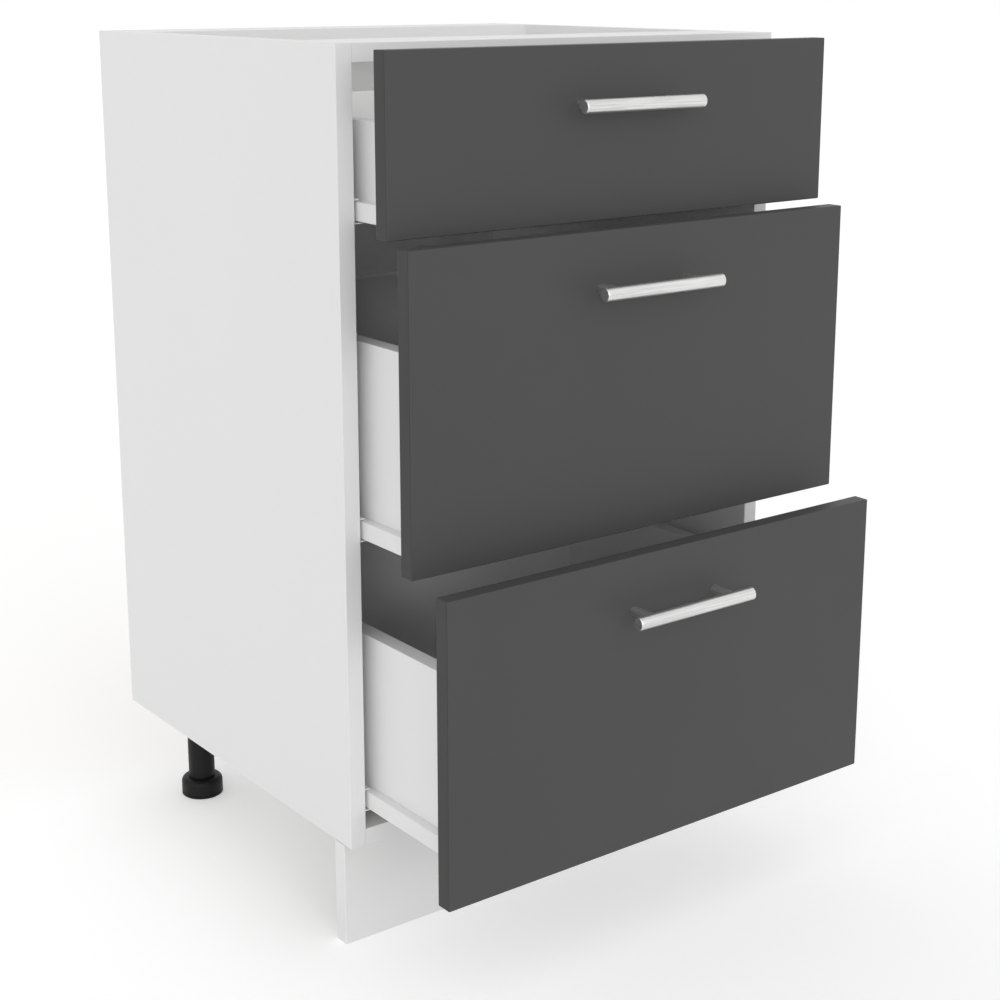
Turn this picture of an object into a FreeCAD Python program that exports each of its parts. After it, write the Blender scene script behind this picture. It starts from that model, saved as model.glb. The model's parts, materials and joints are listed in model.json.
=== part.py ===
# Base cabinet with three drawers, for a kitchen, standing on four levelling feet behind a plinth.
#
# Frame: +X to the right, +Z up, the drawers open towards -Y, z = 0 is the floor. The origin is on the
# floor, in the middle of the cabinet's outer box with its drawers pulled out as they rest here.
# In this file x is measured from the middle of the width, y from the carcass's front plane towards
# the wall, and z from the floor; place() moves y into the frame.

import FreeCAD, Part
import os
import re

DIMENSIONS = [
    # carcass
    ("cabinet_width", 500, "outside width over both side panels"),
    ("carcass_height", 716, "side panel height"),
    ("carcass_depth", 444, "side panel depth"),
    ("board", 16, "thickness of the carcass boards"),
    ("leg_height", 100, "floor to underside of the carcass"),
    ("front_rail_depth", 80, "width of the flat rail at the top front"),
    ("rear_rail_depth", 60, "width of the flat rail at the top rear"),
    ("back_thickness", 3, "thickness of the back panel"),
    ("back_setback", 9, "back panel behind the side panels' rear edge"),
    ("groove_depth", 6, "depth of every panel groove"),
    ("groove_play", 0.2, "play of a thin panel in its groove, each way"),
    ("edge_radius", 0.5, "rounding of the carcass and drawer box edges"),
    # plinth
    ("plinth_setback", 12, "plinth face behind the carcass front"),
    ("plinth_gap", 0.5, "gap between plinth and carcass"),
    # fronts
    ("front_board", 16, "thickness of the drawer fronts"),
    ("front_reveal", 1, "front narrower than the carcass, each side"),
    ("front_gap", 4, "gap between two fronts"),
    ("top_reveal", 3.5, "top front below the carcass top"),
    ("bottom_reveal", 3, "lowest front above the carcass underside"),
    ("closed_gap", 1, "gap behind a front when its drawer is shut"),
    ("front_radius", 1, "rounding of the fronts' edges"),
    ("top_front_height", 151.5, "height of the top front; the two below share the rest"),
    # drawer boxes
    ("top_pull", 55, "how far the top drawer stands out"),
    ("middle_pull", 85, "how far the middle drawer stands out"),
    ("bottom_pull", 135, "how far the bottom drawer stands out"),
    ("top_side_drop", 60.5, "top drawer's sides below its front's upper edge"),
    ("middle_side_drop", 94, "middle drawer's sides below its front's upper edge"),
    ("bottom_side_drop", 82, "bottom drawer's sides below its front's upper edge"),
    ("top_side_lift", 7, "top drawer's sides above its front's lower edge"),
    ("middle_side_lift", 7, "middle drawer's sides above its front's lower edge"),
    ("bottom_side_lift", 31, "bottom drawer's sides above its front's lower edge"),
    ("drawer_board", 16, "thickness of drawer sides and backs"),
    ("drawer_floor", 3, "thickness of the drawer floors"),
    ("floor_lift", 10, "drawer floor above the sides' lower edge"),
    # runners
    ("runner_length", 400, "length of runners and drawer sides"),
    ("runner_space", 12.5, "space for a runner, each side"),
    ("runner_setback", 2, "cabinet runner behind the carcass front"),
    ("drawer_travel", 300, "full travel of a drawer from shut to open"),
    ("steel", 1.2, "sheet thickness of the runners"),
    ("bend_radius", 1, "outer radius of the bends in the runners"),
    ("strip_height", 16, "height of the drawer runner's hood"),
    ("strip_width", 9, "width of the drawer runner's hood"),
    ("strip_lift", 1, "hood's lip above the drawer side's lower edge"),
    ("foot_flange", 12, "flange of the drawer runner under the side"),
    ("track_play", 1.5, "hood to the flanges of the cabinet runner"),
    ("track_width", 10.5, "width of the cabinet runner's lower flange"),
    ("keeper_width", 6, "width of the cabinet runner's upper flange"),
    ("roller_diameter", 12, "diameter of the runner rollers"),
    ("roller_width", 4.2, "width of the runner rollers"),
    ("roller_inset", 1.7, "roller to the drawer's side face"),
    ("roller_play", 0.3, "roller to what it rolls on"),
    ("roller_from_end", 12, "roller pin to the end of its runner"),
    ("pin_diameter", 3, "roller pin"),
    ("pin_play", 0.05, "radial play of a roller on its pin"),
    ("tab_length", 12, "tab that carries the front roller"),
    ("stop_height", 4, "stop tab of the cabinet runner"),
    ("stop_thickness", 2.5, "stop tab, along the travel"),
    # handles
    ("handle_length", 136, "length of the handle bar"),
    ("handle_diameter", 12, "diameter of the handle bar"),
    ("handle_spacing", 96, "distance between the handle posts"),
    ("handle_reach", 34, "handle bar's outermost line in front of the front"),
    ("handle_drop", 50, "handle bar below the front's upper edge"),
    ("post_diameter", 9, "diameter of the handle posts"),
    ("bar_chamfer", 0.8, "chamfer at the ends of the handle bar"),
    # legs
    ("leg_inset", 50, "leg axis to the side panel's outer face"),
    ("front_leg_setback", 62, "front leg axis behind the carcass front"),
    ("rear_leg_setback", 60, "rear leg axis before the carcass's rear edge"),
    ("tube_diameter", 28, "diameter of a leg tube"),
    ("plate_diameter", 60, "diameter of a leg's mounting plate"),
    ("plate_thickness", 4, "thickness of a leg's mounting plate"),
    ("collar_height", 14, "collar of the mounting plate under its disc"),
    ("collar_wall", 3, "wall of the mounting plate's collar"),
    ("foot_diameter", 44, "diameter of a foot"),
    ("foot_height", 20, "height of a foot"),
    ("foot_rounding", 5.5, "rounded shoulder of a foot"),
    ("spindle_diameter", 10, "thread of a foot's spindle"),
    ("spindle_length", 50, "spindle above the foot"),
    ("leg_play", 0.3, "foot to tube, and spindle to its bore"),
    ("spindle_room", 1.5, "room above the spindle in its bore"),
    # plinth clips
    ("clip_wall", 3, "wall of a plinth clip"),
    ("clip_height", 14, "height of a plinth clip's ring"),
    ("clip_level", 52, "plinth clip above the floor"),
    ("clip_play", 0.2, "clip ring to leg tube"),
    ("clip_mouth", 18, "opening of the clip ring"),
    ("clip_plate", 36, "width and height of the clip's plate"),
    ("clip_web", 9, "web between the clip's plate and its ring"),
    # fasteners
    ("cam_diameter", 15, "cam housing"),
    ("cam_depth", 12.5, "cam housing"),
    ("cam_distance", 24, "cam housing to the board's end"),
    ("cam_slot", 2, "driver slot in the cam housing, width and depth"),
    ("cam_slot_length", 10, "driver slot in the cam housing"),
    ("bolt_diameter", 6, "cam bolt"),
    ("bolt_bite", 11, "cam bolt in the neighbouring board"),
    ("dowel_diameter", 8, "wooden dowel"),
    ("dowel_length", 30, "wooden dowel"),
    ("dowel_bite", 10, "dowel in the neighbouring board"),
    ("fit_play", 0.05, "radial play of a fastener in its hole"),
    ("screw_diameter", 3.5, "chipboard screw"),
    ("screw_bite", 11.5, "chipboard screw in the board"),
    ("screw_head_diameter", 6.5, "chipboard screw's head"),
    ("screw_head", 2, "height of the chipboard screw's head"),
    ("corner_screw_diameter", 5, "screw of the drawer box's rear corners"),
    ("corner_screw_length", 45, "screw of the drawer box's rear corners"),
    ("handle_screw_diameter", 4, "handle screw"),
    ("handle_screw_bite", 12, "handle screw in its post"),
    ("handle_screw_head", 2.5, "height of the handle screw's head"),
    ("handle_screw_head_diameter", 8, "handle screw's head"),
    ("first_runner_screw", 37, "first runner screw behind the front end"),
    ("last_runner_screw", 107, "last runner screw before the rear end"),
    ("floor_screw_spacing", 130, "distance between the screws under a drawer's back"),
    ("fitting_low", 32, "lower drawer fitting above the side's lower edge"),
    ("fitting_high", 22, "upper drawer fitting below the side's upper edge"),
    ("bottom_cam_offset", 112, "bottom panel's cams from its front and rear edges"),
    ("bottom_dowel_offset", 152, "bottom panel's dowels from its front and rear edges"),
    ("rail_fitting_offset", 20, "rail fittings from the rail's edges"),
    # worktop fixing
    ("worktop_hole_diameter", 5, "screw holes for the worktop"),
    ("worktop_hole_spacing", 300, "distance between worktop holes along a rail"),
    ("worktop_hole_offset", 40, "front worktop holes behind the carcass front"),
    ("worktop_rear_offset", 42, "rear worktop holes before the carcass's rear edge"),
]

doc = FreeCAD.newDocument("base_cabinet")
sheet = doc.addObject("Spreadsheet::Sheet", "dims")
for row, (alias, value, meaning) in enumerate(DIMENSIONS, start=1):
    sheet.set(f"A{row}", meaning)
    sheet.set(f"B{row}", str(value))
    sheet.setAlias(f"B{row}", alias)
doc.recompute()

ALIAS = re.compile(r"\b(" + "|".join(alias for alias, _, _ in DIMENSIONS) + r")\b")
TURN = {
    "z": FreeCAD.Rotation(),
    "x": FreeCAD.Rotation(FreeCAD.Vector(0, 1, 0), 90),
    "y": FreeCAD.Rotation(FreeCAD.Vector(1, 0, 0), -90),
}

# The carcass's front plane in the frame: it centres the outer box with the bottom drawer pulled out.
FRONT_PLANE = "(bottom_pull + front_board + handle_reach - carcass_depth) / 2"

# Levels and places that several pieces share, as formulas of the dimensions.
UNDERSIDE = "leg_height"
TOP = "(leg_height + carcass_height)"
INSIDE = "(cabinet_width / 2 - board)"
BACK_FACE = "(carcass_depth - back_setback - back_thickness)"
REAR_RAIL_FRONT = f"({BACK_FACE} - rear_rail_depth)"
DRAWER_OUTSIDE = f"({INSIDE} - runner_space)"
DRAWER_INSIDE = f"({DRAWER_OUTSIDE} - drawer_board)"
LEVELS = ("top", "middle", "bottom")
LOWER_FRONT = "((carcass_height - top_reveal - top_front_height - 2 * front_gap - bottom_reveal) / 2)"
FRONT_HEIGHT = {"top": "top_front_height", "middle": LOWER_FRONT, "bottom": LOWER_FRONT}
FRONT_TOP = {"top": f"({TOP} - top_reveal)"}
FRONT_TOP["middle"] = f"({FRONT_TOP['top']} - top_front_height - front_gap)"
FRONT_TOP["bottom"] = f"({FRONT_TOP['middle']} - {LOWER_FRONT} - front_gap)"

NEAR = 0.001  # how close two numbers are to count as the same

nodes = []


def formula(text):
    """Spreadsheet expression for a formula written with the bare names of the dimensions."""
    return ALIAS.sub(r"dims.\1", text)


def bind(thing, **formulas):
    for name, text in formulas.items():
        thing.setExpression(name, formula(text))


def place(thing, x, y, z, axis="z"):
    """Put a thing at a point, its own z axis turned along the given axis."""
    thing.Placement = FreeCAD.Placement(FreeCAD.Vector(0, 0, 0), TURN[axis])
    thing.setExpression("Placement.Base.x", formula(x))
    thing.setExpression("Placement.Base.y", formula(f"{y} + {FRONT_PLANE}"))
    thing.setExpression("Placement.Base.z", formula(z))


def node(thing, label):
    """Name a finished sub-part."""
    thing.Label = label
    nodes.append(thing)
    return thing


def new_body(name):
    return doc.addObject("PartDesign::Body", name)


def block(body, kind, low, size):
    """Add or cut a block; low is its lowest corner."""
    feature = body.newObject(f"PartDesign::{kind}Box", f"{body.Name}_block")
    bind(feature, Length=size[0], Width=size[1], Height=size[2])
    place(feature, *low)
    return feature


def rod(body, kind, start, axis, diameter, length):
    """Add or cut a round rod that runs from start along +axis."""
    feature = body.newObject(f"PartDesign::{kind}Cylinder", f"{body.Name}_rod")
    bind(feature, Radius=f"({diameter}) / 2", Height=length)
    place(feature, *start, axis)
    return feature


def blend_edges(body, kind, size, wanted):
    """Fillet or chamfer those edges of the body's last feature that wanted() picks."""
    doc.recompute()
    last = body.Tip
    picked = [f"Edge{i}" for i, edge in enumerate(last.Shape.Edges, start=1) if wanted(edge)]
    feature = body.newObject(f"PartDesign::{kind}", f"{body.Name}_edges")
    feature.Base = (last, picked)
    bind(feature, **{"Radius" if kind == "Fillet" else "Size": size})
    return feature


def every(edge):
    return True


def along_x(edge):
    return abs(edge.tangentAt(edge.FirstParameter).x) > 1 - NEAR


def along_y(edge):
    return abs(edge.tangentAt(edge.FirstParameter).y) > 1 - NEAR


def is_rim(edge):
    """Whether the edge is a whole circle."""
    return len(edge.Vertexes) == 1


def on_floor(edge):
    return abs(edge.BoundBox.ZMax) < NEAR


def board(name, low, size, wanted=every, radius="edge_radius"):
    """A board with rounded edges, as a body that can still be grooved and drilled."""
    body = new_body(name)
    block(body, "Additive", low, size)
    blend_edges(body, "Fillet", radius, wanted)
    return body


def mirrored(thing, name):
    """The same piece on the other side of the cabinet."""
    twin = doc.addObject("Part::Mirroring", name)
    twin.Source = thing
    twin.Normal = FreeCAD.Vector(1, 0, 0)
    return twin


def group(label, things):
    """Several separate solids that share one node."""
    compound = doc.addObject("Part::Compound", label)
    compound.Links = things
    return node(compound, label)


def bar(name, start, axis, diameter, length):
    """A loose round bar from start along +axis."""
    cylinder = doc.addObject("Part::Cylinder", name)
    bind(cylinder, Radius=f"({diameter}) / 2", Height=length)
    place(cylinder, *start, axis)
    return cylinder


def shifted(point, axis, amount):
    """The point moved along an axis by a formula."""
    return tuple(f"({text}) + ({amount})" if letter == axis else text for letter, text in zip("xyz", point))


def screw(name, seat, axis, way, shank, head):
    """A screw whose head stands on seat; its shank runs along way (1 or -1) times axis.

    shank and head are pairs of diameter and length.
    """
    inwards = shifted(seat, axis, "0" if way > 0 else f"-({shank[1]})")
    outwards = shifted(seat, axis, f"-({head[1]})" if way > 0 else "0")
    whole = doc.addObject("Part::Fuse", name)
    whole.Base = bar(f"{name}_shank", inwards, axis, shank[0], shank[1])
    whole.Tool = bar(f"{name}_head", outwards, axis, head[0], head[1])
    return whole


def slotted(name, housing, low, size):
    """A cam housing with its driver slot."""
    slot = doc.addObject("Part::Box", f"{name}_slot")
    bind(slot, Length=size[0], Width=size[1], Height=size[2])
    place(slot, *low)
    cut = doc.addObject("Part::Cut", name)
    cut.Base = housing
    cut.Tool = slot
    return cut


SCREW_HEAD = ("screw_head_diameter", "screw_head")
HOLE = "+ 2 * fit_play"


# ---------------------------------------------------------------- places of fittings and screws

# Boards that lie between the side panels: name, middle level, and the places in y of the cams and
# the dowels at each end.
BETWEEN = [
    ("bottom", f"{UNDERSIDE} + board / 2",
     ["bottom_cam_offset", "carcass_depth - bottom_cam_offset"],
     ["bottom_dowel_offset", "carcass_depth - bottom_dowel_offset"]),
    ("front_rail", f"{TOP} - board / 2",
     ["front_rail_depth - rail_fitting_offset"],
     ["rail_fitting_offset"]),
    ("rear_rail", f"{TOP} - board / 2",
     [f"{REAR_RAIL_FRONT} + rear_rail_depth - rail_fitting_offset"],
     [f"{REAR_RAIL_FRONT} + rail_fitting_offset"]),
]
LAST_RUNNER_SCREW = "(runner_length - last_runner_screw)"
RUNNER_SCREWS = ["first_runner_screw", f"(first_runner_screw + {LAST_RUNNER_SCREW}) / 2", LAST_RUNNER_SCREW]
FLOOR_SCREWS = ["-floor_screw_spacing", "0", "floor_screw_spacing"]
LEG_X = "(cabinet_width / 2 - leg_inset)"
LEG_Y = {"front": "front_leg_setback", "rear": "(carcass_depth - rear_leg_setback)"}
TUBE_LOW = "(foot_height + leg_play)"
DIAGONAL = "sqrt(0.5)"


def front_low(level):
    return f"({FRONT_TOP[level]} - {FRONT_HEIGHT[level]})"


def side_low(level):
    """Lower edge of a drawer's sides."""
    return f"({front_low(level)} + {level}_side_lift)"


def side_top(level):
    return f"({FRONT_TOP[level]} - {level}_side_drop)"


def strip_low(level):
    """Lip of the drawer runner's hood."""
    return f"({side_low(level)} + strip_lift)"


def ledge(level):
    """Top of the drawer runner's hood."""
    return f"({strip_low(level)} + strip_height)"


def track(level):
    """Upper face of the cabinet runner's lower flange."""
    return f"({strip_low(level)} - track_play)"


def runner_middle(level):
    return f"({strip_low(level)} + strip_height / 2)"


# ---------------------------------------------------------------- carcass

def side_panel():
    """Left side panel, with its groove and its holes for fittings and runner screws."""
    body = board("side_panel_left", ("-cabinet_width / 2", "0", UNDERSIDE),
                 ("board", "carcass_depth", "carcass_height"))
    block(body, "Subtractive", (f"-{INSIDE} - groove_depth", f"{BACK_FACE} - groove_play", UNDERSIDE),
          ("groove_depth", "back_thickness + 2 * groove_play", "carcass_height"))
    for _, level, cams, dowels in BETWEEN:
        for y in cams:
            rod(body, "Subtractive", (f"-{INSIDE} - bolt_bite", y, level), "x",
                f"bolt_diameter {HOLE}", "bolt_bite")
        for y in dowels:
            rod(body, "Subtractive", (f"-{INSIDE} - dowel_bite", y, level), "x",
                f"dowel_diameter {HOLE}", "dowel_bite")
    for level in LEVELS:
        for y in RUNNER_SCREWS:
            rod(body, "Subtractive", (f"-{INSIDE} - screw_bite", y, runner_middle(level)), "x",
                f"screw_diameter {HOLE}", "screw_bite")
    node(body, "side_panel_left")
    node(mirrored(body, "side_panel_right"), "side_panel_right")


def drill_ends(body, level, cams, dowels):
    """Holes for the fittings at both ends of a board between the side panels; the cams sit below."""
    for side in (-1, 1):
        hole_from = {-1: f"-{INSIDE}", 1: f"{INSIDE} - {{}}"}[side]
        for y in cams:
            rod(body, "Subtractive", (f"{side} * ({INSIDE} - cam_distance)", y, f"{level} - board / 2"), "z",
                f"cam_diameter {HOLE}", "cam_depth")
            rod(body, "Subtractive", (hole_from.format("cam_distance"), y, level), "x",
                f"bolt_diameter {HOLE}", "cam_distance")
        for y in dowels:
            length = "(dowel_length - dowel_bite)"
            rod(body, "Subtractive", (hole_from.format(length), y, level), "x",
                f"dowel_diameter {HOLE}", length)


def bottom_panel():
    body = board("bottom_panel", (f"-{INSIDE}", "0", UNDERSIDE),
                 (f"2 * {INSIDE}", "carcass_depth", "board"), along_x)
    block(body, "Subtractive",
          (f"-{INSIDE}", f"{BACK_FACE} - groove_play", f"{UNDERSIDE} + board - groove_depth"),
          (f"2 * {INSIDE}", "back_thickness + 2 * groove_play", "groove_depth"))
    drill_ends(body, *BETWEEN[0][1:])
    for end in LEG_Y.values():
        for side in (-1, 1):
            for x, y in leg_screw_places(side, end):
                rod(body, "Subtractive", (x, y, UNDERSIDE), "z", f"screw_diameter {HOLE}", "screw_bite")
    node(body, "bottom_panel")


def rails():
    """The two flat rails at the top, drilled for the worktop screws."""
    fronts = {"front_rail": ("0", "front_rail_depth", "worktop_hole_offset"),
              "rear_rail": (REAR_RAIL_FRONT, "rear_rail_depth", "carcass_depth - worktop_rear_offset")}
    for name, level, cams, dowels in BETWEEN[1:]:
        y, depth, hole_y = fronts[name]
        body = board(name, (f"-{INSIDE}", y, f"{TOP} - board"), (f"2 * {INSIDE}", depth, "board"), along_x)
        drill_ends(body, level, cams, dowels)
        for side in (-1, 1):
            rod(body, "Subtractive", (f"{side} * worktop_hole_spacing / 2", hole_y, f"{TOP} - board"), "z",
                "worktop_hole_diameter", "board")
        node(body, name)


def back_panel():
    body = new_body("back_panel")
    block(body, "Additive",
          (f"-{INSIDE} - groove_depth + groove_play", BACK_FACE,
           f"{UNDERSIDE} + board - groove_depth + groove_play"),
          (f"2 * ({INSIDE} + groove_depth - groove_play)", "back_thickness",
           "carcass_height - board + groove_depth - groove_play"))
    node(body, "back_panel")


def plinth_board():
    body = board("plinth_board", ("-cabinet_width / 2", "plinth_setback", "0"),
                 ("cabinet_width", "board", "leg_height - plinth_gap"))
    for side in (-1, 1):
        for x, z in clip_screw_places(side):
            rod(body, "Subtractive", (x, "plinth_setback + board - screw_bite", z), "y",
                f"screw_diameter {HOLE}", "screw_bite")
    node(body, "plinth_board")


def carcass_fittings():
    """Dowels, cam housings and cam bolts between the side panels and the boards they hold."""
    dowel_bars, housings, bolts = [], [], []
    for name, level, cams, dowels in BETWEEN:
        for side in (-1, 1):
            for y in dowels:
                start = {-1: f"-{INSIDE} - dowel_bite", 1: f"{INSIDE} + dowel_bite - dowel_length"}[side]
                dowel_bars.append(bar(f"{name}_dowel", (start, y, level), "x",
                                      "dowel_diameter", "dowel_length"))
            for y in cams:
                x = f"{side} * ({INSIDE} - cam_distance)"
                low = f"{level} - board / 2"
                housing = bar(f"{name}_cam_blank", (x, y, low), "z", "cam_diameter", "cam_depth")
                housings.append(slotted(f"{name}_cam", housing,
                                        (f"{x} - cam_slot_length / 2", f"{y} - cam_slot / 2", low),
                                        ("cam_slot_length", "cam_slot", "cam_slot")))
                length = "(bolt_bite + cam_distance - cam_diameter / 2 - fit_play)"
                start = {-1: f"-{INSIDE} - bolt_bite", 1: f"{INSIDE} + bolt_bite - {length}"}[side]
                bolts.append(bar(f"{name}_bolt", (start, y, level), "x", "bolt_diameter", length))
    group("carcass_dowels", dowel_bars)
    group("cam_housings", housings)
    group("cam_bolts", bolts)


# ---------------------------------------------------------------- legs and plinth clips

def leg_screw_places(side, end):
    """Where the four screws of a leg's plate stand, between its collar and its rim."""
    offset = f"(tube_diameter / 2 + collar_wall + plate_diameter / 2) / 2 * {DIAGONAL}"
    centre = f"{side} * {LEG_X}"
    return [(f"{centre} + {i} * {offset}", f"{end} + {j} * {offset}") for i in (-1, 1) for j in (-1, 1)]


def clip_screw_places(side):
    """Where the two screws of a plinth clip's plate stand, above and below its ring."""
    centre = "(clip_level + clip_height / 2)"
    reach = "(clip_height / 2 + clip_plate / 2) / 2"
    return [(f"{side} * {LEG_X}", f"{centre} + {i} * {reach}") for i in (-1, 1)]


def legs():
    """Mounting plates, tubes and feet; each foot is a piece of its own on a threaded spindle."""
    plates, tubes, screws = [], [], []
    for end, y in LEG_Y.items():
        for side, hand in ((-1, "left"), (1, "right")):
            x = f"{side} * {LEG_X}"
            plate = new_body("leg_plate")
            plate_low = f"({UNDERSIDE} - plate_thickness)"
            collar_low = f"({plate_low} - collar_height)"
            rod(plate, "Additive", (x, y, plate_low), "z", "plate_diameter", "plate_thickness")
            bore = "(tube_diameter + 2 * fit_play)"
            rod(plate, "Additive", (x, y, collar_low), "z", f"{bore} + 2 * collar_wall", "collar_height")
            rod(plate, "Subtractive", (x, y, collar_low), "z", bore, "collar_height")
            for hole_x, hole_y in leg_screw_places(side, y):
                seat = (hole_x, hole_y, plate_low)
                rod(plate, "Subtractive", seat, "z", f"screw_diameter {HOLE}", "plate_thickness")
                screws.append(screw("leg_screw", seat, "z", 1,
                                    ("screw_diameter", "plate_thickness + screw_bite"), SCREW_HEAD))
            plates.append(plate)

            tube = new_body("leg_tube")
            rod(tube, "Additive", (x, y, TUBE_LOW), "z", "tube_diameter", f"({plate_low} - {TUBE_LOW})")
            rod(tube, "Subtractive", (x, y, TUBE_LOW), "z", "spindle_diameter + 2 * leg_play",
                "spindle_length - leg_play + spindle_room")
            tubes.append(tube)
            foot(f"foot_{end}_{hand}", x, y)
    group("leg_plates", plates)
    group("leg_tubes", tubes)
    return screws


def foot(label, x, y):
    """A round foot with a rounded shoulder, and the threaded spindle that it turns on."""
    body = new_body(label)
    rod(body, "Additive", (x, y, "0"), "z", "foot_diameter", "foot_height")
    blend_edges(body, "Fillet", "foot_rounding", lambda edge: is_rim(edge) and not on_floor(edge))
    blend_edges(body, "Chamfer", "edge_radius", on_floor)
    rod(body, "Additive", (x, y, "foot_height"), "z", "spindle_diameter", "spindle_length")
    node(body, label)


def plinth_clips():
    """Two clips: an open ring snapped round a front leg's tube, on a plate screwed to the plinth."""
    clips, screws = [], []
    for side in (-1, 1):
        x, y = f"{side} * {LEG_X}", LEG_Y["front"]
        plinth_back = "(plinth_setback + board)"
        inner = "(tube_diameter + 2 * clip_play)"
        clip = new_body("plinth_clip")
        block(clip, "Additive",
              (f"{x} - clip_plate / 2", plinth_back, "clip_level + clip_height / 2 - clip_plate / 2"),
              ("clip_plate", "clip_wall", "clip_plate"))
        block(clip, "Additive", (f"{x} - clip_web / 2", plinth_back, "clip_level"),
              ("clip_web", f"{y} - {plinth_back}", "clip_height"))
        rod(clip, "Additive", (x, y, "clip_level"), "z", f"{inner} + 2 * clip_wall", "clip_height")
        rod(clip, "Subtractive", (x, y, "clip_level"), "z", inner, "clip_height")
        block(clip, "Subtractive", (f"{x} - clip_mouth / 2", y, "clip_level"),
              ("clip_mouth", f"{inner} / 2 + 2 * clip_wall", "clip_height"))
        for hole_x, hole_z in clip_screw_places(side):
            rod(clip, "Subtractive", (hole_x, plinth_back, hole_z), "y",
                f"screw_diameter {HOLE}", "clip_wall")
            screws.append(screw("clip_screw", (hole_x, f"{plinth_back} + clip_wall", hole_z), "y", -1,
                                ("screw_diameter", "clip_wall + screw_bite"), SCREW_HEAD))
        clips.append(clip)
    group("plinth_clips", clips)
    return screws


# ---------------------------------------------------------------- runners

def across(distance):
    """x of a point at a distance from the left side panel's inner face."""
    return f"-{INSIDE} + {distance}"


HOOD_OUTSIDE = "(runner_space - strip_width)"
ROLLER_X = "(runner_space - roller_inset - roller_width)"
TAB_X = f"({ROLLER_X} - roller_play - steel)"


def front_roller_place(level):
    """y and z of the pin of a front roller, which carries the hood from below."""
    return ("(runner_setback + roller_from_end)",
            f"({ledge(level)} - steel - roller_play - roller_diameter / 2)")


def rear_roller_place(level):
    """y and z of the pin of a rear roller, which runs on the cabinet runner's lower flange."""
    return (f"(runner_length - {level}_pull - roller_from_end)",
            f"({track(level)} + roller_play + roller_diameter / 2)")


def side_screw_places(level):
    """Where the screws go up through the drawer runner's flange into the left drawer side."""
    return [(across("runner_space + foot_flange / 2"), f"{y} - {level}_pull") for y in RUNNER_SCREWS]


def cabinet_runner(level):
    """Left runner on the carcass: a channel with the front roller's tab and pin, and the stop."""
    body = new_body(f"cabinet_runner_{level}")
    y, low = "runner_setback", f"({track(level)} - steel)"
    high = f"({ledge(level)} + track_play + steel)"
    whole = block(body, "Additive", (across("0"), y, low),
                  ("track_width", "runner_length", f"{high} - {low}"))
    blend_edges(body, "Fillet", "bend_radius",
                lambda edge: along_y(edge) and edge.CenterOfMass.x < whole.Shape.BoundBox.XMin + NEAR)
    block(body, "Subtractive", (across("steel"), y, track(level)),
          ("track_width - steel", "runner_length", f"{high} - steel - {track(level)}"))
    block(body, "Subtractive", (across("keeper_width"), y, f"{high} - steel"),
          ("track_width - keeper_width", "runner_length", "steel"))
    pin_y, pin_z = front_roller_place(level)
    block(body, "Additive", (across(TAB_X), f"{pin_y} - tab_length / 2", low),
          ("steel", "tab_length", f"{pin_z} + pin_diameter - {low}"))
    rod(body, "Additive", (across(TAB_X), pin_y, pin_z), "x", "pin_diameter",
        "steel + 2 * roller_play + roller_width")
    open_pull = "(closed_gap + drawer_travel)"
    stop_back = f"(runner_length - roller_from_end - {open_pull} - roller_diameter / 2 - roller_play)"
    block(body, "Additive", (across(ROLLER_X), f"{stop_back} - stop_thickness", low),
          (f"track_width - {ROLLER_X}", "stop_thickness", "steel + stop_height"))
    for screw_y in RUNNER_SCREWS:
        rod(body, "Subtractive", (across("0"), screw_y, runner_middle(level)), "x",
            f"screw_diameter {HOLE}", "steel")
    group(f"cabinet_runners_{level}", [body, mirrored(body, f"cabinet_runner_twin_{level}")])


def drawer_runner(level):
    """Left runner on the drawer: a hood over the rollers, and a flange under the drawer's side."""
    body = new_body(f"drawer_runner_{level}")
    y, low = f"-{level}_pull", f"({side_low(level)} - steel)"
    outside, web = across(HOOD_OUTSIDE), across("runner_space - steel")
    hood = block(body, "Additive", (outside, y, strip_low(level)),
                 ("strip_width", "runner_length", "strip_height"))
    blend_edges(body, "Fillet", "bend_radius",
                lambda edge: along_y(edge) and edge.CenterOfMass.z > hood.Shape.BoundBox.ZMax - NEAR)
    block(body, "Subtractive", (f"{outside} + steel", y, strip_low(level)),
          ("strip_width - 2 * steel", "runner_length", "strip_height - steel"))
    block(body, "Additive", (web, y, low), ("steel", "runner_length", f"{strip_low(level)} + steel - {low}"))
    block(body, "Additive", (web, y, low), ("foot_flange + steel", "runner_length", "steel"))
    pin_y, pin_z = rear_roller_place(level)
    rod(body, "Additive", (across(HOOD_OUTSIDE), pin_y, pin_z), "x", "pin_diameter", "strip_width")
    for screw_x, screw_y in side_screw_places(level):
        rod(body, "Subtractive", (screw_x, screw_y, low), "z", f"screw_diameter {HOLE}", "steel")
    group(f"drawer_runners_{level}", [body, mirrored(body, f"drawer_runner_twin_{level}")])


def rollers(level):
    """Four rollers: two on the cabinet's runners, two on the drawer's."""
    for name, (y, z) in (("front", front_roller_place(level)), ("rear", rear_roller_place(level))):
        body = new_body(f"{name}_roller_{level}_left")
        rod(body, "Additive", (across(ROLLER_X), y, z), "x", "roller_diameter", "roller_width")
        blend_edges(body, "Chamfer", "edge_radius", is_rim)
        rod(body, "Subtractive", (across(ROLLER_X), y, z), "x", "pin_diameter + 2 * pin_play", "roller_width")
        node(body, f"{name}_roller_{level}_left")
        node(mirrored(body, f"{name}_roller_{level}_right"), f"{name}_roller_{level}_right")


def runner_screws():
    """Screws that hold the cabinet runners to the side panels."""
    screws = []
    for level in LEVELS:
        for y in RUNNER_SCREWS:
            left = screw(f"runner_screw_{level}", (across("steel"), y, runner_middle(level)), "x", -1,
                         ("screw_diameter", "steel + screw_bite"), SCREW_HEAD)
            screws += [left, mirrored(left, f"runner_screw_{level}_twin")]
    return screws


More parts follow.
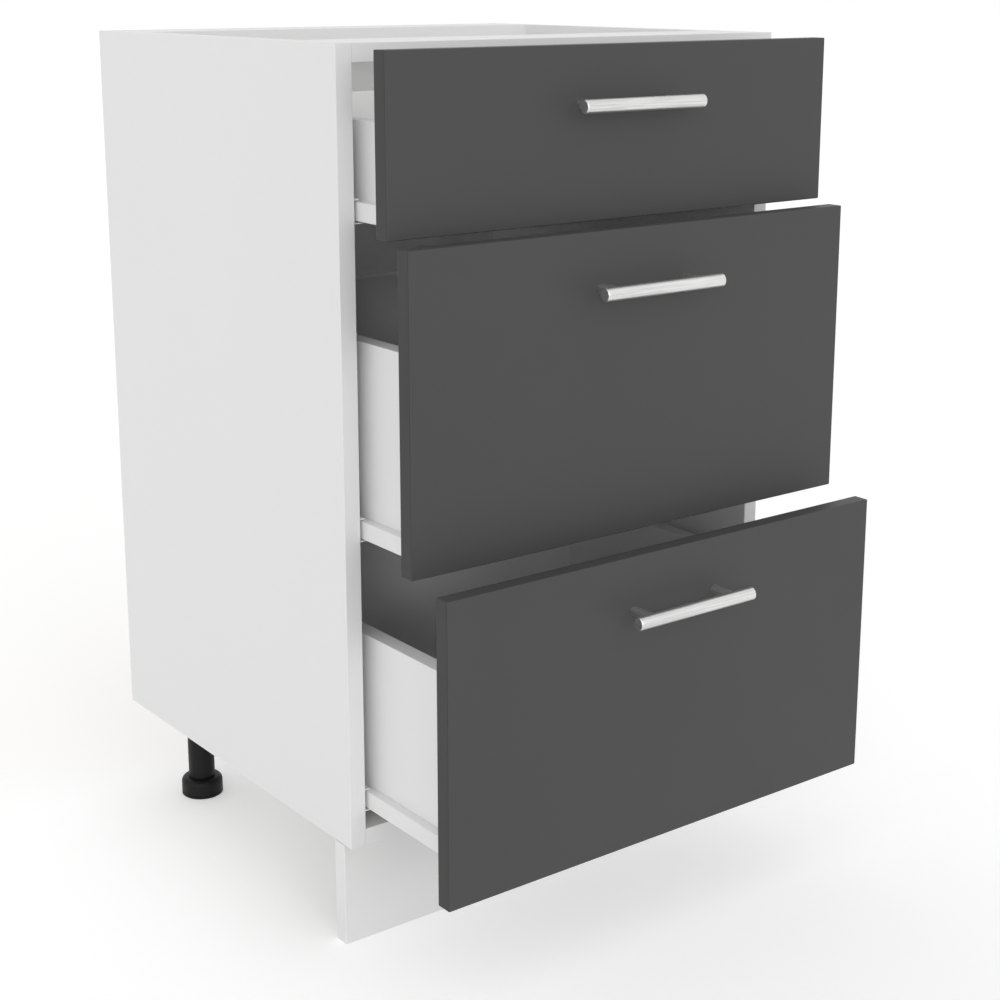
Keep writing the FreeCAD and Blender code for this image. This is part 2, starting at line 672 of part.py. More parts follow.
# ---------------------------------------------------------------- drawers

def fitting_levels(level):
    return [f"({side_low(level)} + fitting_low)", f"({side_top(level)} - fitting_high)"]


def corner_screw_y(level):
    return f"(runner_length - {level}_pull - drawer_board / 2)"


def handle_level(level):
    return f"({FRONT_TOP[level]} - handle_drop)"


def drawer_front(level):
    body = board(f"drawer_front_{level}",
                 ("-cabinet_width / 2 + front_reveal", f"-{level}_pull - front_board", front_low(level)),
                 ("cabinet_width - 2 * front_reveal", "front_board", FRONT_HEIGHT[level]),
                 every, "front_radius")
    for side in (-1, 1):
        for z in fitting_levels(level):
            rod(body, "Subtractive",
                (f"{side} * ({DRAWER_OUTSIDE} - drawer_board / 2)", f"-{level}_pull - bolt_bite", z), "y",
                f"bolt_diameter {HOLE}", "bolt_bite")
        rod(body, "Subtractive",
            (f"{side} * handle_spacing / 2", f"-{level}_pull - front_board", handle_level(level)), "y",
            f"handle_screw_diameter {HOLE}", "front_board")
    node(body, f"drawer_front_{level}")


def drawer_sides(level):
    y, low = f"-{level}_pull", side_low(level)
    body = board(f"drawer_side_{level}_left", (f"-{DRAWER_OUTSIDE}", y, low),
                 ("drawer_board", "runner_length", f"{side_top(level)} - {low}"))
    block(body, "Subtractive", (f"-{DRAWER_INSIDE} - groove_depth", y, f"{low} + floor_lift - groove_play"),
          ("groove_depth", "runner_length", "drawer_floor + 2 * groove_play"))
    for z in fitting_levels(level):
        rod(body, "Subtractive", (f"-{DRAWER_INSIDE} - cam_depth", f"cam_distance - {level}_pull", z), "x",
            f"cam_diameter {HOLE}", "cam_depth")
        rod(body, "Subtractive", (f"-{DRAWER_OUTSIDE} + drawer_board / 2", y, z), "y",
            f"bolt_diameter {HOLE}", "cam_distance")
        rod(body, "Subtractive", (f"-{DRAWER_OUTSIDE}", corner_screw_y(level), z), "x",
            f"corner_screw_diameter {HOLE}", "drawer_board")
    for screw_x, screw_y in side_screw_places(level):
        rod(body, "Subtractive", (screw_x, screw_y, low), "z", f"screw_diameter {HOLE}", "screw_bite")
    node(body, f"drawer_side_{level}_left")
    node(mirrored(body, f"drawer_side_{level}_right"), f"drawer_side_{level}_right")


def drawer_back(level):
    low = f"({side_low(level)} + floor_lift + drawer_floor + groove_play)"
    body = board(f"drawer_back_{level}",
                 (f"-{DRAWER_INSIDE}", f"runner_length - {level}_pull - drawer_board", low),
                 (f"2 * {DRAWER_INSIDE}", "drawer_board", f"{side_top(level)} - {low}"), along_x)
    for z in fitting_levels(level):
        for x in (f"-{DRAWER_INSIDE}", f"{DRAWER_INSIDE} - corner_screw_length + drawer_board"):
            rod(body, "Subtractive", (x, corner_screw_y(level), z), "x",
                f"corner_screw_diameter {HOLE}", "corner_screw_length - drawer_board")
    for x in FLOOR_SCREWS:
        rod(body, "Subtractive", (x, corner_screw_y(level), low), "z", f"screw_diameter {HOLE}", "screw_bite")
    node(body, f"drawer_back_{level}")


def drawer_floor(level):
    body = new_body(f"drawer_floor_{level}")
    half = f"({DRAWER_INSIDE} + groove_depth - groove_play)"
    low = f"({side_low(level)} + floor_lift)"
    block(body, "Additive", (f"-{half}", f"-{level}_pull", low),
          (f"2 * {half}", "runner_length", "drawer_floor"))
    for x in FLOOR_SCREWS:
        rod(body, "Subtractive", (x, corner_screw_y(level), low), "z",
            f"screw_diameter {HOLE}", "drawer_floor")
    node(body, f"drawer_floor_{level}")


def handle(level):
    """A straight round bar on two posts, held by two screws from behind the front."""
    z = handle_level(level)
    face = f"(-{level}_pull - front_board)"
    bar_y = f"({face} - handle_reach + handle_diameter / 2)"
    body = new_body(f"handle_bar_{level}")
    rod(body, "Additive", ("-handle_length / 2", bar_y, z), "x", "handle_diameter", "handle_length")
    blend_edges(body, "Chamfer", "bar_chamfer", is_rim)
    node(body, f"handle_bar_{level}")

    post = new_body(f"handle_post_{level}")
    reach = "(handle_reach - handle_diameter / 2)"
    rod(post, "Additive", ("-handle_spacing / 2", bar_y, z), "y", "post_diameter", reach)
    rod(post, "Subtractive", ("-handle_spacing / 2 - post_diameter", bar_y, z), "x",
        "handle_diameter", "2 * post_diameter")
    rod(post, "Subtractive", ("-handle_spacing / 2", f"{face} - handle_screw_bite", z), "y",
        f"handle_screw_diameter {HOLE}", "handle_screw_bite")
    group(f"handle_posts_{level}", [post, mirrored(post, f"handle_post_twin_{level}")])


def drawer_fasteners(level):
    """Cam fittings of the front, and the corner, runner, handle and floor screws of one drawer."""
    pieces = []
    for z in fitting_levels(level):
        y = f"(cam_distance - {level}_pull)"
        blank = bar(f"drawer_cam_blank_{level}", (f"-{DRAWER_INSIDE} - cam_depth", y, z), "x",
                    "cam_diameter", "cam_depth")
        slot_low = (f"-{DRAWER_INSIDE} - cam_slot", f"{y} - cam_slot_length / 2", f"{z} - cam_slot / 2")
        pieces.append(slotted(f"drawer_cam_{level}", blank, slot_low,
                              ("cam_slot", "cam_slot_length", "cam_slot")))
        pieces.append(bar(f"drawer_bolt_{level}",
                          (f"-{DRAWER_OUTSIDE} + drawer_board / 2", f"-{level}_pull - bolt_bite", z), "y",
                          "bolt_diameter", "bolt_bite + cam_distance - cam_diameter / 2 - fit_play"))
        pieces.append(bar(f"corner_screw_{level}", (f"-{DRAWER_OUTSIDE}", corner_screw_y(level), z), "x",
                          "corner_screw_diameter", "corner_screw_length"))
    for x, y in side_screw_places(level):
        pieces.append(screw(f"side_screw_{level}", (x, y, f"{side_low(level)} - steel"), "z", 1,
                            ("screw_diameter", "steel + screw_bite"), SCREW_HEAD))
    pieces.append(screw(f"handle_screw_{level}",
                        ("-handle_spacing / 2", f"-{level}_pull", handle_level(level)), "y", -1,
                        ("handle_screw_diameter", "front_board + handle_screw_bite"),
                        ("handle_screw_head_diameter", "handle_screw_head")))
    twins = [mirrored(piece, f"{piece.Name}_twin") for piece in pieces]
    for x in FLOOR_SCREWS:
        seat = (x, corner_screw_y(level), f"{side_low(level)} + floor_lift")
        pieces.append(screw(f"floor_screw_{level}", seat, "z", 1,
                            ("screw_diameter", "drawer_floor + groove_play + screw_bite"), SCREW_HEAD))
    group(f"drawer_fasteners_{level}", pieces + twins)


# ---------------------------------------------------------------- the whole cabinet

side_panel()
bottom_panel()
rails()
back_panel()
plinth_board()
carcass_fittings()
loose_screws = legs() + plinth_clips() + runner_screws()
group("carcass_screws", loose_screws)
for drawer in LEVELS:
    cabinet_runner(drawer)
    drawer_runner(drawer)
    rollers(drawer)
    drawer_front(drawer)
    drawer_sides(drawer)
    drawer_back(drawer)
    drawer_floor(drawer)
    handle(drawer)
    drawer_fasteners(drawer)
doc.recompute()

for thing in doc.Objects:
    if "Invalid" in thing.State or "Error" in thing.State:
        raise RuntimeError(f"{thing.Label} failed: {thing.State}")
for thing in nodes:
    if thing.Shape.isNull() or not thing.Shape.isValid() or not thing.Shape.Solids:
        raise RuntimeError(f"{thing.Label} has no valid solid")

os.makedirs("parts", exist_ok=True)
for thing in nodes:
    thing.Shape.exportStep(os.path.join("parts", f"{thing.Label}.step"))
print(f"{len(nodes)} sub-parts, {sum(len(thing.Shape.Solids) for thing in nodes)} solids")
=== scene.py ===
# Looks of a kitchen base cabinet with three drawers: white board carcass and drawer boxes, anthracite
# fronts, steel bar handles, white coated runners and black plastic legs.
import bmesh
import bpy
import json
import math
from mathutils import Matrix, Vector

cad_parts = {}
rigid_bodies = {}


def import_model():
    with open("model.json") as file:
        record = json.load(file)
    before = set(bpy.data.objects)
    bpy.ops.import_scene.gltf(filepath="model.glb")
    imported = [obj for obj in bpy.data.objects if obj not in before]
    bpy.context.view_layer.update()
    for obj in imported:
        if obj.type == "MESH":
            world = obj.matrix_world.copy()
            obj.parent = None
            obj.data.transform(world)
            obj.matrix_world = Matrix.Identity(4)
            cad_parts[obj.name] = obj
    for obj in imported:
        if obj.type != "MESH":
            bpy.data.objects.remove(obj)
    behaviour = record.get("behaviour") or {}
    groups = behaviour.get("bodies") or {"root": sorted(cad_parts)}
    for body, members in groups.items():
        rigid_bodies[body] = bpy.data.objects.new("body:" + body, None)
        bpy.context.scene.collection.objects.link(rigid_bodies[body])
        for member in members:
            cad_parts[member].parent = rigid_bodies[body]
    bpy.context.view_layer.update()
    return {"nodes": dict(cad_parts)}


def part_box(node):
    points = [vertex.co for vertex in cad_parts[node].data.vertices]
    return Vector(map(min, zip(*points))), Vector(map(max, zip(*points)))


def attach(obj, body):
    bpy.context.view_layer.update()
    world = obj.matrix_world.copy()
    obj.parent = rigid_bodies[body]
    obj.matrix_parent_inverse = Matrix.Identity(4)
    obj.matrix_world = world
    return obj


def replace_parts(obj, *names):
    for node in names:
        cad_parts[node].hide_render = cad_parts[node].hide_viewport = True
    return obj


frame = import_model()

LEVELS = ("top", "middle", "bottom")
HANDS = ("left", "right")
MM = 0.001

# colours, as linear red, green and blue
WHITE_BOARD = (0.884, 0.884, 0.883)
WHITE_SHADE = (0.864, 0.864, 0.863)
CHIP_LIGHT = (0.560, 0.400, 0.240)
CHIP_DARK = (0.270, 0.170, 0.090)
ANTHRACITE = (0.077, 0.075, 0.075)
ANTHRACITE_SHADE = (0.070, 0.068, 0.068)
# darker tone of the edge band, partly real and partly painted shade: it goes on the fronts' left and right
# edges only, while the top and bottom edges keep the lighter face tone as painted light against the shade
# from the front above
ANTHRACITE_EDGE_AND_SHADE = (0.048, 0.047, 0.047)
HARDBOARD = (0.330, 0.205, 0.112)
HARDBOARD_DARK = (0.190, 0.112, 0.058)
HARDBOARD_FLECK = (0.335, 0.215, 0.122)
COATED = (0.875, 0.875, 0.872)
COATED_SHADE = (0.855, 0.855, 0.852)
STEEL = (0.850, 0.850, 0.845)
STEEL_SHADE = (0.590, 0.590, 0.585)
ZINC = (0.620, 0.630, 0.650)
ZINC_SHADE = (0.520, 0.530, 0.560)
NYLON = (0.740, 0.735, 0.700)
NYLON_SHADE = (0.690, 0.685, 0.650)
BLACK = (0.0050, 0.0050, 0.0050)
BLACK_SHADE = (0.0040, 0.0040, 0.0040)
BEECH = (0.560, 0.370, 0.210)
BEECH_DARK = (0.420, 0.260, 0.140)
FULL_WHITE = (1.0, 1.0, 1.0)

REFRACTION = 1.45               # index of refraction of every surface that isn't a metal
# specular level of a plain surface, of the matt boards and coats, and of the floor
PLAIN_GLOSS = 0.5
BOARD_GLOSS = 0.3
NO_GLOSS = 0.0
# a face looks along an axis where its normal has at least this share along it
SQUARE_ON = 0.9
# the left and right edges of a board, with their rounded corners, have at least this share
EDGE_ON = 0.65

# sides of a board that can be raw or white: axis letter and sign
REAR, FRONT, ABOVE, BELOW = ("Y", 1), ("Y", -1), ("Z", 1), ("Z", -1)


# ---------------------------------------------------------------- materials

# places of a mix node's factor, first and second colour among its inputs, and of its colour result
COLOUR_MIX_INPUTS = (0, 6, 7)
COLOUR_MIX_RESULT = 2


class Finish:
    """A material under construction: its node tree, its shader, and short calls that add nodes.

    Scales of patterns are in cells per metre, and depths of bumps in metres.
    """

    def __init__(self, name, metallic=0.0, gloss=PLAIN_GLOSS):
        self.material = bpy.data.materials.new(name)
        self.material.use_nodes = True
        self.tree = self.material.node_tree
        self.shader = self.tree.nodes["Principled BSDF"]
        self.shader.inputs["Metallic"].default_value = metallic
        self.shader.inputs["IOR"].default_value = REFRACTION
        self.shader.inputs["Specular IOR Level"].default_value = gloss
        self.place = self.node("ShaderNodeTexCoord").outputs["Object"]
        self.normal = self.node("ShaderNodeTexCoord").outputs["Normal"]

    def node(self, kind, **settings):
        made = self.tree.nodes.new(kind)
        for name, value in settings.items():
            setattr(made, name, value)
        return made

    def put(self, socket, value):
        """Link an output to the socket, or write a plain value into it."""
        if isinstance(value, bpy.types.NodeSocket):
            self.tree.links.new(value, socket)
        elif socket.type == "RGBA":
            socket.default_value = (*value, 1.0)
        else:
            socket.default_value = value

    def math(self, operation, first, second=0.0):
        made = self.node("ShaderNodeMath", operation=operation)
        self.put(made.inputs[0], first)
        self.put(made.inputs[1], second)
        return made.outputs[0]

    def weighed(self, first, share, second):
        """A share of the first value and the rest of the second."""
        return self.math("ADD", self.math("MULTIPLY", first, share), self.math("MULTIPLY", second, 1 - share))

    def axis(self, vector, letter):
        split = self.node("ShaderNodeSeparateXYZ")
        self.put(split.inputs[0], vector)
        return split.outputs["XYZ".index(letter)]

    def stretched(self, scale):
        """Object coordinates scaled by a different number along each axis."""
        made = self.node("ShaderNodeMapping")
        self.put(made.inputs["Vector"], self.place)
        made.inputs["Scale"].default_value = scale
        return made.outputs[0]

    def noise(self, scale, detail=2.0, where=None, roughness=0.5):
        made = self.node("ShaderNodeTexNoise")
        self.put(made.inputs["Vector"], where or self.place)
        made.inputs["Scale"].default_value = scale
        made.inputs["Detail"].default_value = detail
        made.inputs["Roughness"].default_value = roughness
        return made.outputs["Fac"]

    def cells(self, scale, where=None):
        """A random value per cell, and the distance to the cell's middle."""
        made = self.node("ShaderNodeTexVoronoi")
        self.put(made.inputs["Vector"], where or self.place)
        made.inputs["Scale"].default_value = scale
        return made.outputs["Color"], made.outputs["Distance"]

    def mix(self, share, first, second):
        """Blend two colours: the first where the share is 0, the second where it is 1."""
        made = self.node("ShaderNodeMix", data_type="RGBA")
        for socket, value in zip(COLOUR_MIX_INPUTS, (share, first, second)):
            self.put(made.inputs[socket], value)
        return made.outputs[COLOUR_MIX_RESULT]

    def between(self, value, low, high, out_low=0.0, out_high=1.0):
        """Stretch the span from low to high onto another one, and clip what is past its ends."""
        made = self.node("ShaderNodeMapRange")
        for socket, number in zip(made.inputs, (value, low, high, out_low, out_high)):
            self.put(socket, number)
        return made.outputs[0]

    def facing(self, sides):
        """1 on the flat faces that look along one of the sides, 0 elsewhere."""
        mask = 0.0
        for letter, sign in sides:
            along = self.math("MULTIPLY", self.axis(self.normal, letter), sign)
            mask = self.math("MAXIMUM", self.math("GREATER_THAN", along, SQUARE_ON), mask)
        return mask

    def colour(self, value):
        self.put(self.shader.inputs["Base Color"], value)

    def roughness(self, value):
        self.put(self.shader.inputs["Roughness"], value)

    def bump(self, height, depth):
        """Raise the surface by height times depth, in metres."""
        made = self.node("ShaderNodeBump")
        made.inputs["Strength"].default_value = 1.0
        made.inputs["Distance"].default_value = depth
        self.put(made.inputs["Height"], height)
        self.put(self.shader.inputs["Normal"], made.outputs[0])


CHIP_HEIGHT = 4.0               # height of the raw chips, as a multiple of the pearl texture's
CHIP_ROUGHNESS = 0.85
ROUGHNESS_SPREAD = 0.04         # how far the roughness of a board wanders to either side


def chipboard(finish):
    """Colour and height of a raw board edge: pressed wood chips of a few millimetres."""
    chips, distance = finish.cells(scale=520.0, where=finish.stretched((1.0, 1.0, 1.6)))
    grain = finish.noise(scale=1900.0, detail=3.0)
    tone = finish.weighed(finish.axis(chips, "X"), 0.7, grain)
    return finish.mix(tone, CHIP_DARK, CHIP_LIGHT), finish.math("MULTIPLY", distance, CHIP_HEIGHT)


def laminated(name, raw=(), light=WHITE_BOARD, shade=WHITE_SHADE, edge=None, roughness=0.42, pearl=0.02 * MM):
    """Melamine-faced board: a fine pearl texture, a faint tone change, and raw or banded edges.

    raw lists the sides where the wood chips show. edge is the darker tone of the edge band, partly its own
    tone and partly painted shade, put on the board's left and right edges only; the top and bottom edges keep
    the face tone.
    """
    finish = Finish(name, gloss=BOARD_GLOSS)
    cloud = finish.noise(scale=7.0, detail=3.0)
    specks = finish.noise(scale=1500.0)
    tone = finish.mix(finish.weighed(cloud, 0.6, specks), light, shade)
    height = finish.noise(scale=1100.0, detail=2.5)
    # painted shade: the edge band's darker tone goes on the left and right edges only, and the top and bottom
    # edges keep the face tone
    if edge:
        sideways = finish.math("ABSOLUTE", finish.axis(finish.normal, "X"))
        tone = finish.mix(finish.math("GREATER_THAN", sideways, EDGE_ON), tone, edge)
    if raw:
        chip_tone, chip_height = chipboard(finish)
        mask = finish.facing(raw)
        tone = finish.mix(mask, tone, chip_tone)
        height = finish.math("ADD", height, finish.math("MULTIPLY", mask, chip_height))
        finish.roughness(finish.between(mask, 0.0, 1.0, roughness, CHIP_ROUGHNESS))
    else:
        low, high = roughness - ROUGHNESS_SPREAD, roughness + ROUGHNESS_SPREAD
        finish.roughness(finish.between(cloud, 0.0, 1.0, low, high))
    finish.colour(tone)
    finish.bump(height, pearl)
    return finish.material


FIBRE_ROUGHNESS = 0.7
PAINT_ROUGHNESS = 0.38
FIBRE_DEPTH = 0.04 * MM
MESH_PITCH = 1.6 * MM           # pitch of the wire mesh pressed into the raw side
MESH_HEIGHT = 0.8               # height of its pattern, as a share of the fibre's


def hardboard(name, white_sides, across):
    """Thin board: smooth and white on the sides listed, raw brown fibre pressed on a wire mesh elsewhere.

    across names the two axes that lie in the board.
    """
    finish = Finish(name, gloss=BOARD_GLOSS)
    cloud = finish.between(finish.noise(scale=9.0, detail=5.0, roughness=0.65), 0.3, 0.7)
    fibre = finish.between(finish.noise(scale=420.0, detail=4.0, roughness=0.7), 0.3, 0.7)
    flecks = finish.between(finish.noise(scale=230.0, roughness=0.7), 0.60, 0.72)
    brown = finish.mix(finish.weighed(cloud, 0.4, fibre), HARDBOARD_DARK, HARDBOARD)
    white = finish.facing(white_sides)
    finish.colour(finish.mix(white, finish.mix(flecks, brown, HARDBOARD_FLECK), WHITE_BOARD))
    finish.roughness(finish.between(white, 0.0, 1.0, FIBRE_ROUGHNESS, PAINT_ROUGHNESS))
    mesh = finish.math("SUBTRACT", 1.0, white)
    for letter in across:
        turn = finish.math("MULTIPLY", finish.axis(finish.place, letter), 2 * math.pi / MESH_PITCH)
        mesh = finish.math("MULTIPLY", mesh, finish.math("SINE", turn))
    mesh = finish.math("MULTIPLY", mesh, MESH_HEIGHT)
    finish.bump(finish.math("ADD", finish.noise(scale=700.0, detail=3.0), mesh), FIBRE_DEPTH)
    return finish.material


def coated_steel(name):
    """White powder coat on sheet steel, with its faint orange peel."""
    finish = Finish(name, gloss=BOARD_GLOSS)
    finish.colour(finish.mix(finish.noise(scale=20.0), COATED, COATED_SHADE))
    sheen = finish.noise(scale=60.0)
    finish.roughness(finish.between(sheen, 0.3, 0.7, out_low=0.30, out_high=0.40))
    finish.bump(finish.noise(scale=900.0, detail=1.5), depth=0.02 * MM)
    return finish.material


def brushed_steel(name, grain):
    """Brushed stainless steel; grain is the stretch of the scratches along each axis."""
    finish = Finish(name, metallic=1.0)
    scratches = finish.noise(scale=1.0, detail=4.0, where=finish.stretched(grain), roughness=0.65)
    streaks = finish.noise(scale=0.3, where=finish.stretched(grain))
    tone = finish.between(finish.weighed(scratches, 0.4, streaks), 0.35, 0.65)
    finish.colour(finish.mix(tone, STEEL, STEEL_SHADE))
    finish.roughness(finish.between(scratches, 0.25, 0.75, out_low=0.28, out_high=0.46))
    finish.bump(scratches, depth=0.010 * MM)
    return finish.material


def zinc_plate(name):
    """Bright zinc plate with a faint cloudy bloom."""
    finish = Finish(name, metallic=1.0)
    cloud = finish.noise(scale=160.0, detail=4.0)
    finish.colour(finish.mix(cloud, ZINC, ZINC_SHADE))
    finish.roughness(finish.between(cloud, 0.3, 0.7, out_low=0.26, out_high=0.42))
    finish.bump(finish.noise(scale=2500.0), depth=0.006 * MM)
    return finish.material


def moulded(name, light, shade, roughness, grain, depth, gloss=PLAIN_GLOSS):
    """Moulded plastic with a fine even grain of the given scale and depth."""
    finish = Finish(name, gloss=gloss)
    finish.colour(finish.mix(finish.noise(scale=60.0), light, shade))
    sheen = finish.noise(scale=140.0, detail=3.0)
    finish.roughness(finish.between(sheen, 0.3, 0.7, out_low=roughness - 0.05, out_high=roughness + 0.06))
    finish.bump(finish.noise(grain), depth)
    return finish.material


def beech_wood(name):
    """Beech with its grain along the X axis."""
    finish = Finish(name)
    rings = finish.noise(scale=300.0, detail=4.0, where=finish.stretched((0.06, 1.0, 1.0)))
    finish.colour(finish.mix(rings, BEECH, BEECH_DARK))
    finish.roughness(0.6)
    finish.bump(rings, depth=0.03 * MM)
    return finish.material


def dress(names, material):
    """Give CAD nodes a finish."""
    for name in names:
        for place in frame["nodes"][name].material_slots:
            place.material = material


# scratches per metre along each axis: they run along the bars, and along the posts
BAR_GRAIN = (60.0, 2600.0, 2600.0)
POST_GRAIN = (900.0, 60.0, 900.0)
ZINC_PLATED = zinc_plate("zinc")
BLACK_PLASTIC = moulded("black_plastic", BLACK, BLACK_SHADE, roughness=0.5, grain=1500.0, depth=0.02 * MM,
                        gloss=BOARD_GLOSS)

dress([f"side_panel_{hand}" for hand in HANDS],
      laminated("side_board", raw=[REAR, BELOW]))
dress(["bottom_panel", "rear_rail"], laminated("shelf_board", raw=[REAR]))
dress(["front_rail"], laminated("rail_board", raw=[REAR]))
dress(["plinth_board"] + [f"drawer_back_{level}" for level in LEVELS],
      laminated("upright_board", raw=[BELOW]))
dress([f"drawer_side_{level}_{hand}" for level in LEVELS for hand in HANDS],
      laminated("drawer_side_board", raw=[REAR, BELOW]))
dress([f"drawer_front_{level}" for level in LEVELS],
      laminated("front_board", light=ANTHRACITE, shade=ANTHRACITE_SHADE, edge=ANTHRACITE_EDGE_AND_SHADE,
                roughness=0.5, pearl=0.03 * MM))
dress(["back_panel"], hardboard("back_hardboard", [FRONT], "XZ"))
dress([f"drawer_floor_{level}" for level in LEVELS], hardboard("floor_hardboard", [ABOVE, BELOW], "XY"))
dress([f"{owner}_runners_{level}" for owner in ("cabinet", "drawer") for level in LEVELS],
      coated_steel("runner_coat"))
dress([f"handle_bar_{level}" for level in LEVELS], brushed_steel("bar_steel", BAR_GRAIN))
dress([f"handle_posts_{level}" for level in LEVELS], brushed_steel("post_steel", POST_GRAIN))
dress([f"{end}_roller_{level}_{hand}" for end in ("front", "rear") for level in LEVELS for hand in HANDS],
      moulded("nylon", NYLON, NYLON_SHADE, roughness=0.38, grain=1800.0, depth=0.01 * MM))
dress(["leg_plates", "leg_tubes", "plinth_clips"], BLACK_PLASTIC)
dress(["carcass_dowels"], beech_wood("beech"))


# ---------------------------------------------------------------- turned pieces

SMOOTH_BELOW = math.radians(35)
RECESS_TAPER = 0.7              # size of a recess at its floor, as a share of its mouth
THREAD_STEPS = 12               # steps in one turn of a thread
CORE = 0.86                     # a thread's core, as a share of its crest
SUNK = 0.97                     # a ridge starts at this share of the core's radius, inside the core
RIDGE = 0.42                    # half the width of a ridge, as a share of the pitch


def turned(mesh, profile, sides=24):
    """A skin round the Z axis through (radius, height) pairs, from the closed tip up. Gives its last ring."""
    rings = []
    for radius, height in profile:
        angles = [2 * math.pi * k / sides for k in range(sides)]
        rings.append([mesh.verts.new((radius * math.cos(a), radius * math.sin(a), height)) for a in angles])
    mesh.faces.new(rings[0])
    for low, high in zip(rings, rings[1:]):
        for k in range(sides):
            mesh.faces.new((low[k], low[k - 1], high[k - 1], high[k]))
    return rings[-1]


def rounded(radius, top, rounding, steps=6):
    """The (radius, height) pairs of a quarter circle that leads from an upright wall to a flat top."""
    turns = [math.pi / 2 * k / steps for k in range(steps + 1)]
    return [(radius - rounding * (1 - math.cos(t)), top - rounding * (1 - math.sin(t))) for t in turns]


def cross(arm, width):
    """Outline of a cross recess: arms of one length from the middle, all of one width."""
    quarter = [(arm, -width / 2), (arm, width / 2), (width / 2, width / 2)]
    points = []
    for _ in range(4):
        points += quarter
        quarter = [(-y, x) for x, y in quarter]
    return points


def hexagon(across):
    """Outline of a hexagon socket of the given width across its flats."""
    reach = across / math.sqrt(3)
    return [(reach * math.cos(math.pi / 3 * k), reach * math.sin(math.pi / 3 * k)) for k in range(6)]


def recess(mesh, rim, outline, depth):
    """Close the flat top inside the rim, with a recess that narrows towards its floor."""
    top = rim[0].co.z
    mouth = [mesh.verts.new((x, y, top)) for x, y in outline]
    base = [mesh.verts.new((x * RECESS_TAPER, y * RECESS_TAPER, top - depth)) for x, y in outline]
    mesh.faces.new(base)
    for k in range(len(outline)):
        mesh.faces.new((mouth[k], mouth[k - 1], base[k - 1], base[k]))
    edges = [mesh.edges.get((ring[k], ring[k - 1])) or mesh.edges.new((ring[k], ring[k - 1]))
             for ring in (rim, mouth) for k in range(len(ring))]
    bmesh.ops.triangle_fill(mesh, use_beauty=True, edges=edges)


def thread(mesh, crest, pitch, low, high):
    """A helical ridge of triangular section between two heights, run out at both ends."""
    half = RIDGE * pitch
    core = crest * CORE * SUNK
    count = int((high - low - 2 * half) / pitch * THREAD_STEPS)
    sections = []
    for k in range(count + 1):
        angle = 2 * math.pi * k / THREAD_STEPS
        height = low + half + pitch * k / THREAD_STEPS
        run_out = min(1.0, k / THREAD_STEPS, (count - k) / THREAD_STEPS)
        peak = core + (crest - core) * run_out
        corners = ((core, height - half), (peak, height), (core, height + half))
        sections.append([mesh.verts.new((r * math.cos(angle), r * math.sin(angle), z)) for r, z in corners])
    for first, second in zip(sections, sections[1:]):
        for k in range(3):
            mesh.faces.new((first[k], first[k - 1], second[k - 1], second[k]))
    mesh.faces.new(sections[0])
    mesh.faces.new(sections[-1])


def piece(name, mesh, material, body):
    """Turn a finished mesh into an object that rides on a body."""
    bmesh.ops.recalc_face_normals(mesh, faces=mesh.faces)
    data = bpy.data.meshes.new(name)
    mesh.to_mesh(data)
    mesh.free()
    data.shade_smooth()
    data.set_sharp_from_angle(angle=SMOOTH_BELOW)
    data.materials.append(material)
    made = bpy.data.objects.new(name, data)
    bpy.context.scene.collection.objects.link(made)
    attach(made, body)
    return made


def body_under(node):
    """Name of the body that a CAD node rides on."""
    return frame["nodes"][node].parent.name.split(":")[1]


# ---------------------------------------------------------------- fasteners

SAME_POINT = 0.001 * MM
CLOSE = 0.2 * MM                # two sizes this near to each other count as the same
FLUSH_BEVEL = 0.2 * MM          # round the end of a screw without a head

# shares that shape a screw
POINT = 0.15                    # radius of its blunt tip, as a share of the shank's
TIP_THREAD = 0.4                # start of the thread, as a share of the tip's length
THREAD_TOP = 0.90               # end of the thread, as a share of the length under the head
SHANK_LOW = 0.93                # start of the plain shank, as a share of the same length
HEAD_ROUNDING = 0.7             # as a share of the head's height

# head diameter: head height, shank diameter, thread pitch, outline and depth of the recess
SCREWS = {6.5 * MM: (2.0 * MM, 3.5 * MM, 1.6 * MM, cross(1.7 * MM, 0.6 * MM), 1.2 * MM),
          8.0 * MM: (2.5 * MM, 4.0 * MM, 0.7 * MM, cross(2.2 * MM, 0.8 * MM), 1.5 * MM),
          5.0 * MM: (0.0, 5.0 * MM, 2.4 * MM, hexagon(3.0 * MM), 2.2 * MM)}

# profiles in millimetres, as (radius, height) pairs: a cam's from the drum's far end to its sunk face,
# with heights counted from the rim, and a cam bolt's from its tip over the collar to its neck
CAM_PROFILE = ((7.3, -12.5), (7.5, -12.2), (7.5, -0.4), (7.1, 0), (6.2, 0), (6.0, -0.4))
CAM_SIDES = 36
CAM_DIAMETER = 15.0 * MM
CAM_CROSS = cross(4.4 * MM, 1.8 * MM)
CAM_CROSS_DEPTH = 2.4 * MM
BOLT_PROFILE = ((1.6, 0), (2.5, 1.2), (2.5, 10.6), (3.0, 10.8), (3.0, 11.8), (1.8, 12.2))
BOLT_DIAMETER = 6.0 * MM
BOLT_PITCH = 2.2 * MM
BOLT_THREAD = (0.6 * MM, 10.6 * MM)
BOLT_NECK = 1.8 * MM
BOLT_HEAD = 2.9 * MM
BOLT_HEAD_LOW = 3.2 * MM        # lower rim of the head, below the bolt's end
BOLT_NECK_TOP = 4.2 * MM        # upper end of the neck, below the bolt's end
BOLT_ROUNDING = 1.4 * MM


